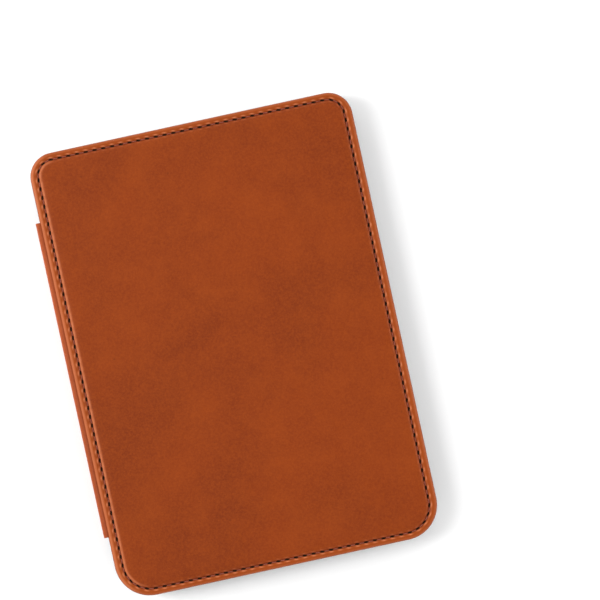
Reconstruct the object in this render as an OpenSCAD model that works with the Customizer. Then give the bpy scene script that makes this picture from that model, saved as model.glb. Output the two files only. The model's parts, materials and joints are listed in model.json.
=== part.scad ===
// E-reader in a leather book cover: a slim reader snapped into a black tray, with a leather back
// panel, a leather spine that bends along two creases, and a stitched leather front cover.
//
// The set lies on its back panel. X runs from the spine (left) to the free edge, Y from the port
// edge (bottom) to the top edge, Z from the table to the cover. The origin is the middle of the
// back panel's resting face.

/* [Reader] */
// Width of the reader
reader_w = 124.6; // [123:0.2:126]
// Height of the reader
reader_h = 174.2; // [172:0.2:176]
// Thickness of the reader
reader_t = 8.1; // [8.1:0.1:9]
// Corner radius of the reader, seen from the front
reader_r = 9; // [8:0.5:10]
// Radius along the edges of the reader's back
reader_edge_r = 3; // [2:0.5:3]
// Thickness of the front window
window_t = 0.9; // [0.7:0.1:1.1]
// Width of the visible screen
screen_w = 103.6; // [98:0.2:104]
// Height of the visible screen
screen_h = 138.2; // [130:0.2:139]
// Distance of the screen's middle above the reader's middle
screen_up = 6; // [4:0.5:7]

/* [Button and port] */
// Place of the charging port along the bottom edge
port_x = -7; // [-9:0.5:-5]
// Place of the power button along the bottom edge
button_x = 10; // [9:0.5:11]
// Length of the power button
button_l = 9; // [7:0.5:10]
// Travel of the power button
button_travel = 0.3; // [0.2:0.05:0.35]

/* [Tray] */
// Wall thickness of the tray
tray_wall = 2.1; // [1.8:0.1:2.6]
// Thickness of the tray's floor over the leather
tray_floor = 1.2; // [1:0.1:2]
// Height of the tray's frame above the table
frame_lift = 0.35; // [0.2:0.05:0.5]
// Visible width of the frame round the back panel
frame_w = 5; // [4:0.2:6]
// Outer radius of the two top corners
tray_r_top = 8.8; // [8:0.2:11]
// Outer radius of the two bottom corners
tray_r_bottom = 13.3; // [10:0.1:14]
// Radius along the tray's lower edge
tray_edge_r = 2; // [1.5:0.1:2.6]
// How far the lip reaches over the reader
lip_reach = 0.7; // [0.4:0.1:1]
// Width of the gap in the bottom wall for the button and the port
notch_w = 30.8; // [30:0.2:36]

/* [Leather] */
// Thickness of the back panel
back_t = 1.2; // [1:0.1:1.5]
// Corner radius of the back panel at the top
panel_r_top = 5; // [3:0.5:8]
// Corner radius of the back panel at the bottom
panel_r_bottom = 6.5; // [3:0.5:8]
// Length of the spine
spine_len = 126.6; // [110:0.2:140]
// Thickness of the spine's leather
spine_skin = 1; // [0.8:0.1:1.1]
// Thickness of the spine's lining
spine_lining_t = 0.6; // [0.4:0.1:0.7]

/* [Cover] */
// Width of the cover
cover_w = 129.4; // [129:0.1:130]
// Height of the cover
cover_h = 178.8; // [178:0.2:181]
// Outer radius of the cover's two top corners
cover_r_top = 9.6; // [8:0.2:12]
// Outer radius of the cover's two bottom corners
cover_r_bottom = 14; // [10:0.2:15]
// Gap between the closed cover and the tray
cover_gap = 0.3; // [0.3:0.05:0.6]
// Thickness of the soft lining
lining_t = 0.5; // [0.4:0.1:0.8]
// Thickness of the stiffening board
board_t = 0.8; // [0.8:0.1:1.2]
// Thickness of the cover's leather at its stitched border
skin_t = 0.9; // [0.8:0.1:1.2]
// Extra height of the padded middle of the cover
pad_rise = 0.3; // [0.1:0.1:0.6]
// Distance of the seam from the cover's edge
seam_inset = 3; // [2.6:0.1:3.4]

/* [Hidden] */
$fn = 64;
fit = 0.1;             // gap round pieces that drop into a pocket
crease_gap = 0.2;      // gap round the round edge of a crease

// Heights from the table up
pad_t = 0.3;
pad_z = back_t + tray_floor;
reader_z = pad_z + pad_t;
reader_top = reader_z + reader_t;
lip_z = reader_top + 0.05;
lip_t = 0.55;
tray_top = lip_z + lip_t;
cover_z = tray_top + cover_gap;
board_z = cover_z + lining_t;
skin_z = board_z + board_t;
border_z = skin_z + skin_t;

// The tray's plan
pocket_w = reader_w + 2 * fit;
pocket_h = reader_h + 2 * fit;
tray_w = pocket_w + 2 * tray_wall;
tray_h = pocket_h + 2 * tray_wall;
panel_w = tray_w - 2 * frame_w + 2 * fit;
panel_h = tray_h - 2 * frame_w + 2 * fit;

// The spine: a straight strip between two creases, each a round bead on its turning axis
crease_r = (spine_skin + spine_lining_t) / 2;
crease_x = -tray_w / 2 - 0.3 - crease_r;
low_crease_z = crease_r;
high_crease_z = border_z - crease_r;
spine_top = high_crease_z - crease_r - crease_gap;
spine_half = spine_len / 2;

// Inside the reader, measured from its back
wall = 1.6;
floor_t = 1.2;
cavity_w = reader_w - 2 * wall;
cavity_h = reader_h - 2 * wall;
cavity_r = reader_r - wall;
window_z = reader_t - window_t;
gasket_t = 0.1;
ledge_z = window_z - gasket_t;
rim = 0.9;
window_w = reader_w - 2 * rim - 2 * fit;
window_h = reader_h - 2 * rim - 2 * fit;
touch_t = 0.3;
guide_t = 0.4;
panel_t = 0.9;
touch_z = ledge_z - touch_t;
guide_z = touch_z - guide_t;
display_z = guide_z - panel_t;
chassis_t = 0.9;
chassis_z = display_z - chassis_t;
display_w = screen_w + 7;
display_h = screen_h + 10.3;
display_low = screen_up - display_h / 2;
pcb_t = 0.8;
pcb_z = floor_t + 1;
pcb_top = pcb_z + pcb_t;
port_z = reader_t / 2;
wall_out = -reader_h / 2;
wall_in = wall_out + wall;

// Screws and bosses of the reader
chassis_screws = [for (x = [-1, 1], y = [76, 26, -24, -74]) [x * 57.6, y]];
pcb_screws = [[-52, 66], [-17, 66], [-52, -46], [38, -54], [38, -79], [-52, -79]];
screw_r = 0.7;
pilot_r = 0.75;

// Magnets of the closure and the sleep switch
closure_magnets = [[57.6, 50], [57.6, 0]];
wake_spot = [-48, 40];

// Colours
leather = [0.62, 0.28, 0.12];
black = [0.08, 0.08, 0.09];
lining_grey = [0.24, 0.22, 0.21];
steel = [0.72, 0.72, 0.74];
copper = [0.72, 0.45, 0.22];

// ---------------------------------------------------------------- shared shapes

// Rounded rectangle with one radius for its top corners and one for its bottom corners.
module plate2d(w, h, r_top, r_bottom) {
    square([w, h - 2 * max(r_top, r_bottom)], center = true);
    for (side = [-1, 1]) {
        for (end = [[1, r_top], [-1, r_bottom]])
            translate([side * (w / 2 - end[1]), end[0] * (h / 2 - end[1])]) circle(end[1]);
    }
    translate([-w / 2, 0]) square([w, h / 2 - r_top]);
    translate([-w / 2, r_bottom - h / 2]) square([w, h / 2 - r_bottom]);
    translate([r_top - w / 2, 0]) square([w - 2 * r_top, h / 2]);
    translate([r_bottom - w / 2, -h / 2]) square([w - 2 * r_bottom, h / 2]);
}

module plate(w, h, t, r_top, r_bottom) {
    linear_extrude(t) plate2d(w, h, r_top, r_bottom);
}

// Half of a slab's cross-section: `run` wide, `t` high, with its two outer corners rounded.
module edge_profile(run, t, low_r, high_r) {
    difference() {
        square([run, t]);
        if (low_r > 0)
            difference() {
                translate([run - low_r, -1]) square([low_r + 1, low_r + 1]);
                translate([run - low_r, low_r]) circle(low_r);
            }
        if (high_r > 0)
            difference() {
                translate([run - high_r, t - high_r]) square([high_r + 1, high_r + 1]);
                translate([run - high_r, t - high_r]) circle(high_r);
            }
    }
}

// Slab with rounded corners in plan and rounded lower and upper edges, swept round its outline.
module slab(w, h, t, r_top, r_bottom, low_r, high_r) {
    mid_y = (r_bottom - r_top) / 2;
    for (side = [0, 1]) {
        mirror([side, 0, 0]) {
            translate([0, h / 2 - r_top, 0]) rotate([90, 0, 0])
                linear_extrude(h - r_top - r_bottom) edge_profile(w / 2, t, low_r, high_r);
            translate([w / 2 - r_top, h / 2 - r_top, 0])
                rotate_extrude(angle = 90) edge_profile(r_top, t, low_r, high_r);
            translate([w / 2 - r_bottom, r_bottom - h / 2, 0]) rotate(-90)
                rotate_extrude(angle = 90) edge_profile(r_bottom, t, low_r, high_r);
        }
    }
    translate([r_top - w / 2, mid_y, 0]) rotate([90, 0, 90])
        linear_extrude(w - 2 * r_top) edge_profile(h / 2 - mid_y, t, low_r, high_r);
    translate([w / 2 - r_bottom, mid_y, 0]) rotate([90, 0, -90])
        linear_extrude(w - 2 * r_bottom) edge_profile(h / 2 + mid_y, t, low_r, high_r);
}

module block(x0, x1, y0, y1, z0, z1) {
    translate([x0, y0, z0]) cube([x1 - x0, y1 - y0, z1 - z0]);
}

// A box standing on height z, centred on a point of the plan.
module chip(at, w, h, z, t) {
    translate([at[0] - w / 2, at[1] - h / 2, z]) cube([w, h, t]);
}

// A slot with round ends, w long and h high, cut or grown along Y from y0 to y1.
module slot_y(x, z, w, h, y0, y1) {
    translate([x, y1, z]) rotate([90, 0, 0]) linear_extrude(y1 - y0) {
        square([w - h, h], center = true);
        for (side = [-1, 1]) translate([side * (w - h) / 2, 0]) circle(h / 2);
    }
}

module rod_y(x, z, r, y0, y1) {
    translate([x, y1, z]) rotate([90, 0, 0]) cylinder(r = r, h = y1 - y0);
}

// Pan-head screw with a hexagon socket: its head stands on z, its shank reaches down.
module screw(at, z, shank) {
    head_r = 1.5;
    head_t = 0.45;
    socket_r = 0.6;
    translate([at[0], at[1], z]) difference() {
        union() {
            cylinder(r = head_r, h = head_t);
            translate([0, 0, -shank]) cylinder(r = screw_r, h = shank + head_t / 2);
        }
        translate([0, 0, 0.15]) cylinder(r = socket_r, h = head_t, $fn = 6);
    }
}

module in_reader() {
    translate([0, 0, reader_z]) children();
}

// ---------------------------------------------------------------- the case

// The leather's outline on the back: the panel and the tab that runs on into the spine.
module back_outline(gap) {
    plate2d(panel_w - 2 * gap, panel_h - 2 * gap, panel_r_top - gap, panel_r_bottom - gap);
    translate([crease_x + crease_r + crease_gap, -spine_half])
        square([panel_w / 2 - crease_x - 10, spine_len]);
}

module port_notch() {
    flare = 1.2;
    translate([0, 0, -1]) linear_extrude(tray_top + 2) polygon([
        [-notch_w / 2, -pocket_h / 2], [notch_w / 2, -pocket_h / 2],
        [notch_w / 2 + flare, -tray_h / 2 - 0.01], [notch_w / 2 + flare, -tray_h / 2 - 1],
        [-notch_w / 2 - flare, -tray_h / 2 - 1], [-notch_w / 2 - flare, -tray_h / 2 - 0.01]
    ]);
    block(-notch_w / 2, notch_w / 2, -pocket_h / 2 - 0.1, -pocket_h / 2 + 2, reader_top, tray_top + 1);
}

module case_tray() {
    color(black) difference() {
        translate([0, 0, frame_lift])
            slab(tray_w, tray_h, tray_top - frame_lift, tray_r_top, tray_r_bottom, tray_edge_r, 0.5);
        translate([0, 0, pad_z])
            plate(pocket_w, pocket_h, lip_z - pad_z, reader_r + fit, reader_r + fit);
        translate([0, 0, pad_z])
            plate(pocket_w - 2 * lip_reach, pocket_h - 2 * lip_reach, tray_top, reader_r - 0.6, reader_r - 0.6);
        linear_extrude(back_t) plate2d(panel_w, panel_h, panel_r_top, panel_r_bottom);
        block(-tray_w, -panel_w / 2 + 10, -spine_half - fit, spine_half + fit, 0, back_t);
        port_notch();
    }
}

module tray_pad() {
    color(lining_grey) translate([0, 0, pad_z])
        plate(reader_w - 6, reader_h - 6, pad_t, reader_r - 3, reader_r - 3);
}

module back_leather() {
    color(leather) linear_extrude(back_t) back_outline(fit);
}

// ---------------------------------------------------------------- the spine

module spine_leather() {
    color(leather) {
        block(crease_x - crease_r, crease_x - crease_r + spine_skin, -spine_half, spine_half,
            low_crease_z, spine_top);
        rod_y(crease_x, low_crease_z, crease_r, -spine_half, spine_half);
    }
}

module spine_lining() {
    color(lining_grey) block(crease_x - crease_r + spine_skin, crease_x + crease_r,
        -spine_half, spine_half, 2 * crease_r + fit, spine_top);
}

// ---------------------------------------------------------------- the front cover

tab_reach = 10.5;
tab_x = crease_x + tab_reach;
flange = 1.1;

// A closed band that follows the cover's edge, `inset` from it and `width` wide.
module border_band(inset, width, z, t) {
    translate([0, 0, z]) linear_extrude(t) difference() {
        plate2d(cover_w - 2 * inset + width, cover_h - 2 * inset + width,
            cover_r_top - inset + width / 2, cover_r_bottom - inset + width / 2);
        plate2d(cover_w - 2 * inset - width, cover_h - 2 * inset - width,
            cover_r_top - inset - width / 2, cover_r_bottom - inset - width / 2);
    }
}

module hinge_tab() {
    color(leather) {
        block(crease_x, tab_x, -spine_half, spine_half, board_z, skin_z);
        rod_y(crease_x, high_crease_z, crease_r, -spine_half, spine_half);
    }
}

module cover_leather() {
    pad_inset = 4.2;
    groove_w = 0.9;
    groove_t = 0.3;
    color(leather) difference() {
        union() {
            translate([0, 0, board_z])
                slab(cover_w, cover_h, border_z - board_z, cover_r_top, cover_r_bottom, 0, 0.8);
            translate([0, 0, skin_z])
                plate(cover_w - 2 * pad_inset, cover_h - 2 * pad_inset, skin_t + pad_rise,
                    cover_r_top - pad_inset, cover_r_bottom - pad_inset);
        }
        translate([0, 0, board_z - 1])
            plate(cover_w - 2 * flange, cover_h - 2 * flange, board_t + 1,
                cover_r_top - flange, cover_r_bottom - flange);
        block(-cover_w, 0, -spine_half - fit, spine_half + fit, board_z - 1, skin_z);
        border_band(seam_inset, groove_w, border_z - groove_t, 1);
    }
}

module cover_stitching() {
    thread = 0.6;
    color([0.12, 0.06, 0.05]) border_band(seam_inset, thread, border_z - 0.3, 0.35);
}

module magnet_bars(z, t) {
    bar_w = 3.6;
    bar_l = 20;
    for (at = closure_magnets) chip(at, bar_w, bar_l, z, t);
}

module cover_board() {
    gap = flange + fit;
    color([0.55, 0.5, 0.42]) translate([0, 0, board_z]) difference() {
        plate(cover_w - 2 * gap, cover_h - 2 * gap, board_t, cover_r_top - gap, cover_r_bottom - gap);
        block(-cover_w, tab_x + fit, -spine_half - fit, spine_half + fit, -1, 2);
        for (at = closure_magnets) chip(at, 3.8, 20.2, -1, 3);
        translate([wake_spot[0], wake_spot[1], -1]) cylinder(r = 3.6, h = 3);
    }
}

module cover_lining() {
    inset = 0.4;
    color(lining_grey) translate([0, 0, cover_z])
        plate(cover_w - 2 * inset, cover_h - 2 * inset, lining_t, cover_r_top - inset, cover_r_bottom - inset);
}

module cover_magnets() {
    color(steel) magnet_bars(board_z, board_t);
}

module wake_magnet() {
    color(steel) translate([wake_spot[0], wake_spot[1], board_z]) cylinder(r = 3.5, h = board_t);
}

// ---------------------------------------------------------------- the reader's shell and front

module rear_housing() {
    boss_r = 2.2;
    color([0.1, 0.1, 0.11]) in_reader() {
        difference() {
            slab(reader_w, reader_h, reader_t, reader_r, reader_r, reader_edge_r, 0.2);
            translate([0, 0, floor_t]) plate(cavity_w, cavity_h, reader_t, cavity_r, cavity_r);
            translate([0, 0, ledge_z])
                plate(reader_w - 2 * rim, reader_h - 2 * rim, 2, reader_r - rim, reader_r - rim);
            slot_y(port_x, port_z, 9.1, 3.34, wall_out - 1, wall_in + 1);
            slot_y(button_x, port_z, button_l + 2 * fit, 2.7, wall_out - 1, wall_in + 1);
            rod_y(1.5, port_z, 0.65, wall_out - 1, wall_in + 1);
        }
        for (at = chassis_screws) boss(at, boss_r, chassis_z);
        for (at = pcb_screws) boss(at, 1.9, pcb_z);
    }
}

// Boss on the housing's floor, up to height z, with a pilot hole for its screw.
module boss(at, r, z) {
    translate([at[0], at[1], floor_t]) difference() {
        cylinder(r = r, h = z - floor_t);
        translate([0, 0, 0.2]) cylinder(r = pilot_r, h = z);
    }
}

module front_window() {
    color([0.35, 0.37, 0.4]) in_reader() translate([0, 0, window_z])
        slab(window_w, window_h, window_t, reader_r - rim - fit, reader_r - rim - fit, 0, 0.25);
}

module window_gasket() {
    color([0.05, 0.05, 0.05]) in_reader() translate([0, 0, ledge_z]) linear_extrude(gasket_t)
        difference() {
            plate2d(window_w, window_h, reader_r - rim - fit, reader_r - rim - fit);
            plate2d(cavity_w, cavity_h, cavity_r, cavity_r);
        }
}

module bezel_film() {
    color([0.04, 0.04, 0.05]) in_reader() translate([0, 0, ledge_z]) linear_extrude(gasket_t)
        difference() {
            plate2d(cavity_w - 2 * fit, cavity_h - 2 * fit, cavity_r - fit, cavity_r - fit);
            translate([0, screen_up]) square([screen_w, screen_h], center = true);
        }
}

module touch_panel() {
    color([0.6, 0.62, 0.62]) in_reader() translate([0, 0, touch_z])
        plate(cavity_w - 4 * fit, cavity_h - 4 * fit, touch_t, cavity_r - 2 * fit, cavity_r - 2 * fit);
}

module light_guide() {
    color([0.8, 0.85, 0.88]) in_reader()
        chip([0, screen_up], display_w - 2, display_h - 0.1, guide_z, guide_t);
}

strip_half = 52;
led_pitch = 8;

module light_strip() {
    color(copper) in_reader()
        block(-strip_half, strip_half, display_low - 4.2, display_low - 0.05, guide_z - 0.2, guide_z - 0.05);
}

module light_leds() {
    color([0.95, 0.9, 0.6]) in_reader()
        for (i = [-6:6]) chip([i * led_pitch, display_low - 0.7], 2.6, 1.3, guide_z - 0.05, guide_t);
}

module display_panel() {
    color([0.78, 0.78, 0.74]) in_reader()
        chip([0, screen_up], display_w, display_h, display_z, panel_t);
}

ribbon_half = 14;
ribbon_t = 0.2;
ribbon_low = pcb_top + 1;
ribbon_out = display_low - 7;

// The ribbon leaves the display's lower edge, turns down through the chassis and back to the board.
module display_ribbon() {
    color(copper) in_reader() {
        block(-ribbon_half, ribbon_half, ribbon_out, display_low, display_z + 0.05, display_z + 0.05 + ribbon_t);
        block(-ribbon_half, ribbon_half, ribbon_out, ribbon_out + ribbon_t, ribbon_low, display_z + 0.1);
        block(-ribbon_half, ribbon_half, ribbon_out, ribbon_out + 6, ribbon_low, ribbon_low + ribbon_t);
    }
}

module display_connector() {
    color([0.85, 0.83, 0.75]) in_reader()
        block(-ribbon_half - 2, ribbon_half + 2, ribbon_out + 3, ribbon_out + 6, pcb_top, ribbon_low);
}

// ---------------------------------------------------------------- the chassis

module chassis_plate() {
    head_room = 0.5;
    color([0.5, 0.52, 0.54]) in_reader() translate([0, 0, chassis_z]) difference() {
        plate(cavity_w - 2 * fit, cavity_h - 2 * fit, chassis_t, cavity_r - fit, cavity_r - fit);
        for (at = chassis_screws) translate([at[0], at[1], 0]) {
            translate([0, 0, -1]) cylinder(r = 0.9, h = 3);
            translate([0, 0, chassis_t - head_room]) cylinder(r = 1.7, h = 1);
        }
        block(-14, 18, -cavity_h, -79, -1, 2);
        block(-ribbon_half - 1, ribbon_half + 1, ribbon_out - 0.8, ribbon_out + 0.8, -1, 2);
        for (y = [-40, 5, 50]) chip([0, y], 70, 30, -1, 3);
    }
}

module chassis_screws() {
    color(steel) in_reader() for (at = chassis_screws) screw(at, chassis_z + chassis_t - 0.5, 3);
}

// ---------------------------------------------------------------- the electronics

module main_board() {
    color([0.06, 0.3, 0.16]) in_reader() translate([0, 0, pcb_z]) difference() {
        linear_extrude(pcb_t) polygon([
            [-55, -83], [42, -83], [42, -50], [-13, -50], [-13, 70], [-55, 70]
        ]);
        block(port_x - 4.8, port_x + 4.8, -84, -79.2, -1, 2);
        for (at = pcb_screws) translate([at[0], at[1], -1]) cylinder(r = 0.9, h = 3);
    }
}

module board_screws() {
    color(steel) in_reader() for (at = pcb_screws) screw(at, pcb_top, 1.5);
}

module processor() {
    color([0.1, 0.1, 0.1]) in_reader() chip([-39, 26], 13, 13, pcb_top, 0.9);
}

module memory_chip() {
    color([0.13, 0.13, 0.13]) in_reader() chip([-27, 13], 9, 11, pcb_top, 0.9);
}

// Folded metal can, open towards the board.
module shield_can(at, w, h) {
    skin = 0.2;
    top = 1.3;
    difference() {
        chip(at, w, h, pcb_top, top);
        chip(at, w - 2 * skin, h - 2 * skin, pcb_top - 1, top - skin + 1);
    }
}

module processor_shield() {
    color(steel) in_reader() shield_can([-34, 20], 26, 30);
}

module wireless_shield() {
    color(steel) in_reader() shield_can([-34, -20], 18, 20);
}

module board_chips() {
    color([0.12, 0.12, 0.13]) in_reader() {
        chip([-30, 52], 8, 8, pcb_top, 0.8);
        chip([-34, -52], 6, 6, pcb_top, 0.8);
        chip([-36, -68], 7, 5, pcb_top, 0.8);
        for (x = [-50:3:-20]) chip([x, -36], 1.6, 0.8, pcb_top, 0.7);
        for (x = [20:4:32]) chip([x, -66], 2, 1.2, pcb_top, 0.7);
    }
}

module hall_sensor() {
    color([0.1, 0.1, 0.1]) in_reader() chip(wake_spot, 2.9, 1.6, pcb_top, 1);
}

module reader_magnets() {
    color(steel) in_reader() magnet_bars(floor_t, 2.4);
}

module antenna() {
    color(copper) in_reader() chip([0, 78], 60, 8, floor_t, 0.2);
}

battery_box = [[-9, -45], [54, 62]];
battery_mid = (battery_box[0] + battery_box[1]) / 2;
battery_size = battery_box[1] - battery_box[0];
tape_t = 0.2;
lead_xs = [22.5, 24.5, 26.5];
lead_r = 0.4;
circuit_top = floor_t + 2.4;

module battery() {
    color([0.75, 0.76, 0.78]) in_reader() translate([battery_mid[0], battery_mid[1], floor_t + tape_t])
        slab(battery_size[0], battery_size[1], 3, 2, 2, 0.8, 0.8);
}

module battery_tape() {
    color([0.9, 0.88, 0.8]) in_reader()
        for (y = [-25, 25]) chip(battery_mid + [0, y], battery_size[0] - 8, 20, floor_t, tape_t);
}

module battery_circuit() {
    color([0.06, 0.3, 0.16]) in_reader()
        block(12, 38, battery_box[0][1] - 3.6, battery_box[0][1], circuit_top - 0.8, circuit_top);
}

module battery_lead() {
    color([0.7, 0.08, 0.06]) in_reader()
        for (x = lead_xs) rod_y(x, circuit_top + lead_r, lead_r, -53, battery_box[0][1] - 1.5);
}

module battery_socket() {
    color([0.85, 0.83, 0.75]) in_reader()
        block(lead_xs[0] - 2.5, lead_xs[2] + 2.5, -57, -53, pcb_top, pcb_top + 1.5);
}

// ---------------------------------------------------------------- the port, the button and the light

port_out = wall_out + 0.2;
port_in = port_out + 7.35;

module usb_shell() {
    color(steel) in_reader() {
        difference() {
            slot_y(port_x, port_z, 8.94, 3.16, port_out, port_in);
            slot_y(port_x, port_z, 8.34, 2.56, port_out - 1, port_in - 0.9);
        }
        for (side = [-1, 1]) chip([port_x + side * 4.8, port_in - 2], 1.7, 2, pcb_top, 0.2);
    }
}

module usb_tongue() {
    color([0.08, 0.08, 0.08]) in_reader()
        block(port_x - 3.35, port_x + 3.35, port_out + 0.9, port_in - 0.9, port_z - 0.35, port_z + 0.35);
}

module usb_seal() {
    color([0.15, 0.15, 0.15]) in_reader() difference() {
        slot_y(port_x, port_z, 10.8, 4.8, wall_in, wall_in + 0.6);
        slot_y(port_x, port_z, 9.1, 3.32, wall_in - 1, wall_in + 2);
    }
}

proud = 0.4;
flange_y = wall_in + 0.1;
switch_face = flange_y + 1;
plunger_r = 0.8;

module power_button() {
    color([0.12, 0.12, 0.13]) in_reader() {
        slot_y(button_x, port_z, button_l, 2.5, wall_out - proud, flange_y + 0.1);
        slot_y(button_x, port_z, button_l + 1.6, 3.5, flange_y, flange_y + 0.5);
    }
}

module switch_plunger() {
    color([0.85, 0.83, 0.75]) in_reader()
        rod_y(button_x, port_z, plunger_r, flange_y + 0.5, switch_face + 0.5);
}

module power_switch() {
    color(steel) in_reader() difference() {
        block(button_x - 3, button_x + 3, switch_face, switch_face + 3, pcb_top, port_z + 1.1);
        rod_y(button_x, port_z, plunger_r + fit, switch_face - 1, switch_face + 0.6 + button_travel);
    }
}

led_y = -83.1;

module status_led() {
    color([0.9, 0.85, 0.6]) in_reader() block(0.7, 2.3, led_y, led_y + 1, pcb_top, port_z + 0.5);
}

module status_light_pipe() {
    color([0.9, 0.93, 0.95]) in_reader() rod_y(1.5, port_z, 0.6, wall_out, led_y - 0.1);
}

// ---------------------------------------------------------------- the nodes

case_tray();
tray_pad();
back_leather();
spine_leather();
spine_lining();
hinge_tab();
cover_leather();
cover_board();
cover_lining();
cover_stitching();
cover_magnets();
wake_magnet();
rear_housing();
front_window();
window_gasket();
bezel_film();
touch_panel();
light_guide();
light_strip();
light_leds();
display_panel();
display_ribbon();
display_connector();
chassis_plate();
chassis_screws();
main_board();
board_screws();
processor();
memory_chip();
processor_shield();
wireless_shield();
board_chips();
hall_sensor();
reader_magnets();
antenna();
battery();
battery_tape();
battery_circuit();
battery_lead();
battery_socket();
usb_shell();
usb_tongue();
usb_seal();
power_button();
switch_plunger();
power_switch();
status_led();
status_light_pipe();
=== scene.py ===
"""An e-reader in a brown leather book cover, closed and lying on its back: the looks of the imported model.

Lengths are in millimetres up to the point where a mesh is made, and the row frame is the CAD's own.
"""

import json
import math
import random

import bmesh
import bpy
import numpy as np
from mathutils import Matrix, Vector, noise


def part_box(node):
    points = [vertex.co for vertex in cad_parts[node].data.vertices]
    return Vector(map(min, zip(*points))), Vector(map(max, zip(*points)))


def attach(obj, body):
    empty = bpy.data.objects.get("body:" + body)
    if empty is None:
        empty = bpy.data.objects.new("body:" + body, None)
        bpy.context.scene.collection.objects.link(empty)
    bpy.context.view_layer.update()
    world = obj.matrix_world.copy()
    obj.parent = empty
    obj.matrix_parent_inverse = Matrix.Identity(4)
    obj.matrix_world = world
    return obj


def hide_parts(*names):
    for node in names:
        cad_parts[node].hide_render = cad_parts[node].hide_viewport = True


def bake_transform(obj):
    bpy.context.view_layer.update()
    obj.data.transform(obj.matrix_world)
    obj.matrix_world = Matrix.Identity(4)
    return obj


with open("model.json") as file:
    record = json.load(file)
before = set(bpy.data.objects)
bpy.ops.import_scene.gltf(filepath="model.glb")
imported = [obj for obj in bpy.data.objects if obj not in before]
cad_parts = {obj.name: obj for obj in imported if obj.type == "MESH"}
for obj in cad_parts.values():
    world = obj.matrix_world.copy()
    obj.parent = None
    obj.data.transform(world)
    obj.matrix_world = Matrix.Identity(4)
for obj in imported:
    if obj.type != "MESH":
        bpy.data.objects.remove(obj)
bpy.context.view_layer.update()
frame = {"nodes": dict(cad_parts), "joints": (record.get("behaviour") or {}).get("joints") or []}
random.seed(7)
MM = 0.001


def box_mm(node):
    """Lowest and highest corner of a CAD node, in millimetres."""
    return [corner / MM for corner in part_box(node)]


# ------------------------------------------------------------------ sizes taken from the frame

cover_low, cover_high = box_mm("cover_leather")
lining_low, lining_high = box_mm("cover_lining")
pad_low, pad_high = box_mm("tray_pad")
spine_low, spine_high = box_mm("spine_leather")
panel_high = box_mm("back_leather")[1]
tab_high = box_mm("hinge_tab")[1]
tray_low = box_mm("case_tray")[0]
hinges = {joint["name"]: Vector(joint["pos_m"]) / MM for joint in frame["joints"] if "pos_m" in joint}

PAD_RISE = 0.3
BORDER_Z = cover_high.z - PAD_RISE
COVER_LEATHER_T, SPINE_LEATHER_T, BEND_LEATHER_T = 0.9, 0.95, 0.72
BOARD_TOP = tab_high.z - COVER_LEATHER_T
COVER_R_TOP, COVER_R_BOTTOM = 9.6, 14.0
TRAY_PAD_R = 6.0
PANEL_R_TOP, PANEL_R_BOTTOM = 4.9, 6.4
PANEL_HALF_W = panel_high.x
CREASE_R = 0.8
SPINE_HALF = spine_high.y
SPINE_OUT = spine_low.x
SPINE_MIDDLE_Z = (hinges["spine_hinge"].z + hinges["cover_hinge"].z) / 2


# ------------------------------------------------------------------ mesh helpers

SHARP_ANGLE = math.radians(40)


class Rounded:
    """A rounded rectangle, walked anticlockwise from the left end of its bottom side."""

    def __init__(self, width, height, r_top, r_bottom):
        self.size = width, height, r_top, r_bottom
        a, b = width / 2, height / 2
        self.centres = np.array(
            [
                (a - r_bottom, r_bottom - b),
                (a - r_top, b - r_top),
                (r_top - a, b - r_top),
                (r_bottom - a, r_bottom - b),
            ]
        )
        self.radii = np.array([r_bottom, r_top, r_top, r_bottom])
        self.first_angle = np.radians([-90.0, 0.0, 90.0, 180.0])

    def corner(self, k, share):
        """Points of the corner arcs k, at a share of each arc."""
        angle = self.first_angle[k] + share * math.pi / 2
        return self.centres[k] + self.radii[k][:, None] * np.stack([np.cos(angle), np.sin(angle)], 1)

    def at(self, walk):
        """Points for a walk made by steps(): eight stretches, four sides and four corners in turn."""
        stretch, share = walk
        k = stretch // 2
        start = self.corner((k + 3) % 4, np.ones(len(k)))
        end = self.corner(k, np.zeros(len(k)))
        side = start + (end - start) * share[:, None]
        return np.where((stretch % 2 == 0)[:, None], side, self.corner(k, share))

    def lengths(self):
        """Lengths of the eight stretches."""
        k = np.arange(4)
        sides = self.corner(k, np.zeros(4)) - self.corner((k + 3) % 4, np.ones(4))
        arcs = self.radii * math.pi / 2
        return np.stack([np.linalg.norm(sides, axis=1), arcs], 1).ravel()

    def steps(self, count):
        """A walk of evenly spaced points round the whole outline."""
        ends = np.concatenate([[0.0], np.cumsum(self.lengths())])
        place = np.arange(count) / count * ends[-1]
        stretch = np.clip(np.searchsorted(ends, place, side="right") - 1, 0, 7)
        return stretch, (place - ends[stretch]) / (ends[stretch + 1] - ends[stretch])

    def inset(self, by):
        """The outline that lies inside this one, with corners that stay round."""
        width, height, r_top, r_bottom = self.size
        least = 0.2
        return Rounded(width - 2 * by, height - 2 * by, max(r_top - by, least), max(r_bottom - by, least))


def smooth(low, high, value):
    """0 below low, 1 above high, and an even curve between them. High may be the smaller one."""
    t = np.clip((value - low) / (high - low), 0, 1)
    return t * t * (3 - 2 * t)


def new_piece(name, points, faces, attributes):
    """An object from points in millimetres, with its outward normals made consistent."""
    mesh = bpy.data.meshes.new(name)
    mesh.from_pydata((np.asarray(points, float) * MM).tolist(), [], faces)
    for key, values in attributes.items():
        mesh.attributes.new(key, "FLOAT", "POINT").data.foreach_set("value", np.asarray(values, np.float32))
    work = bmesh.new()
    work.from_mesh(mesh)
    bmesh.ops.recalc_face_normals(work, faces=work.faces)
    work.to_mesh(mesh)
    work.free()
    return finish_mesh(name, mesh)


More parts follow.
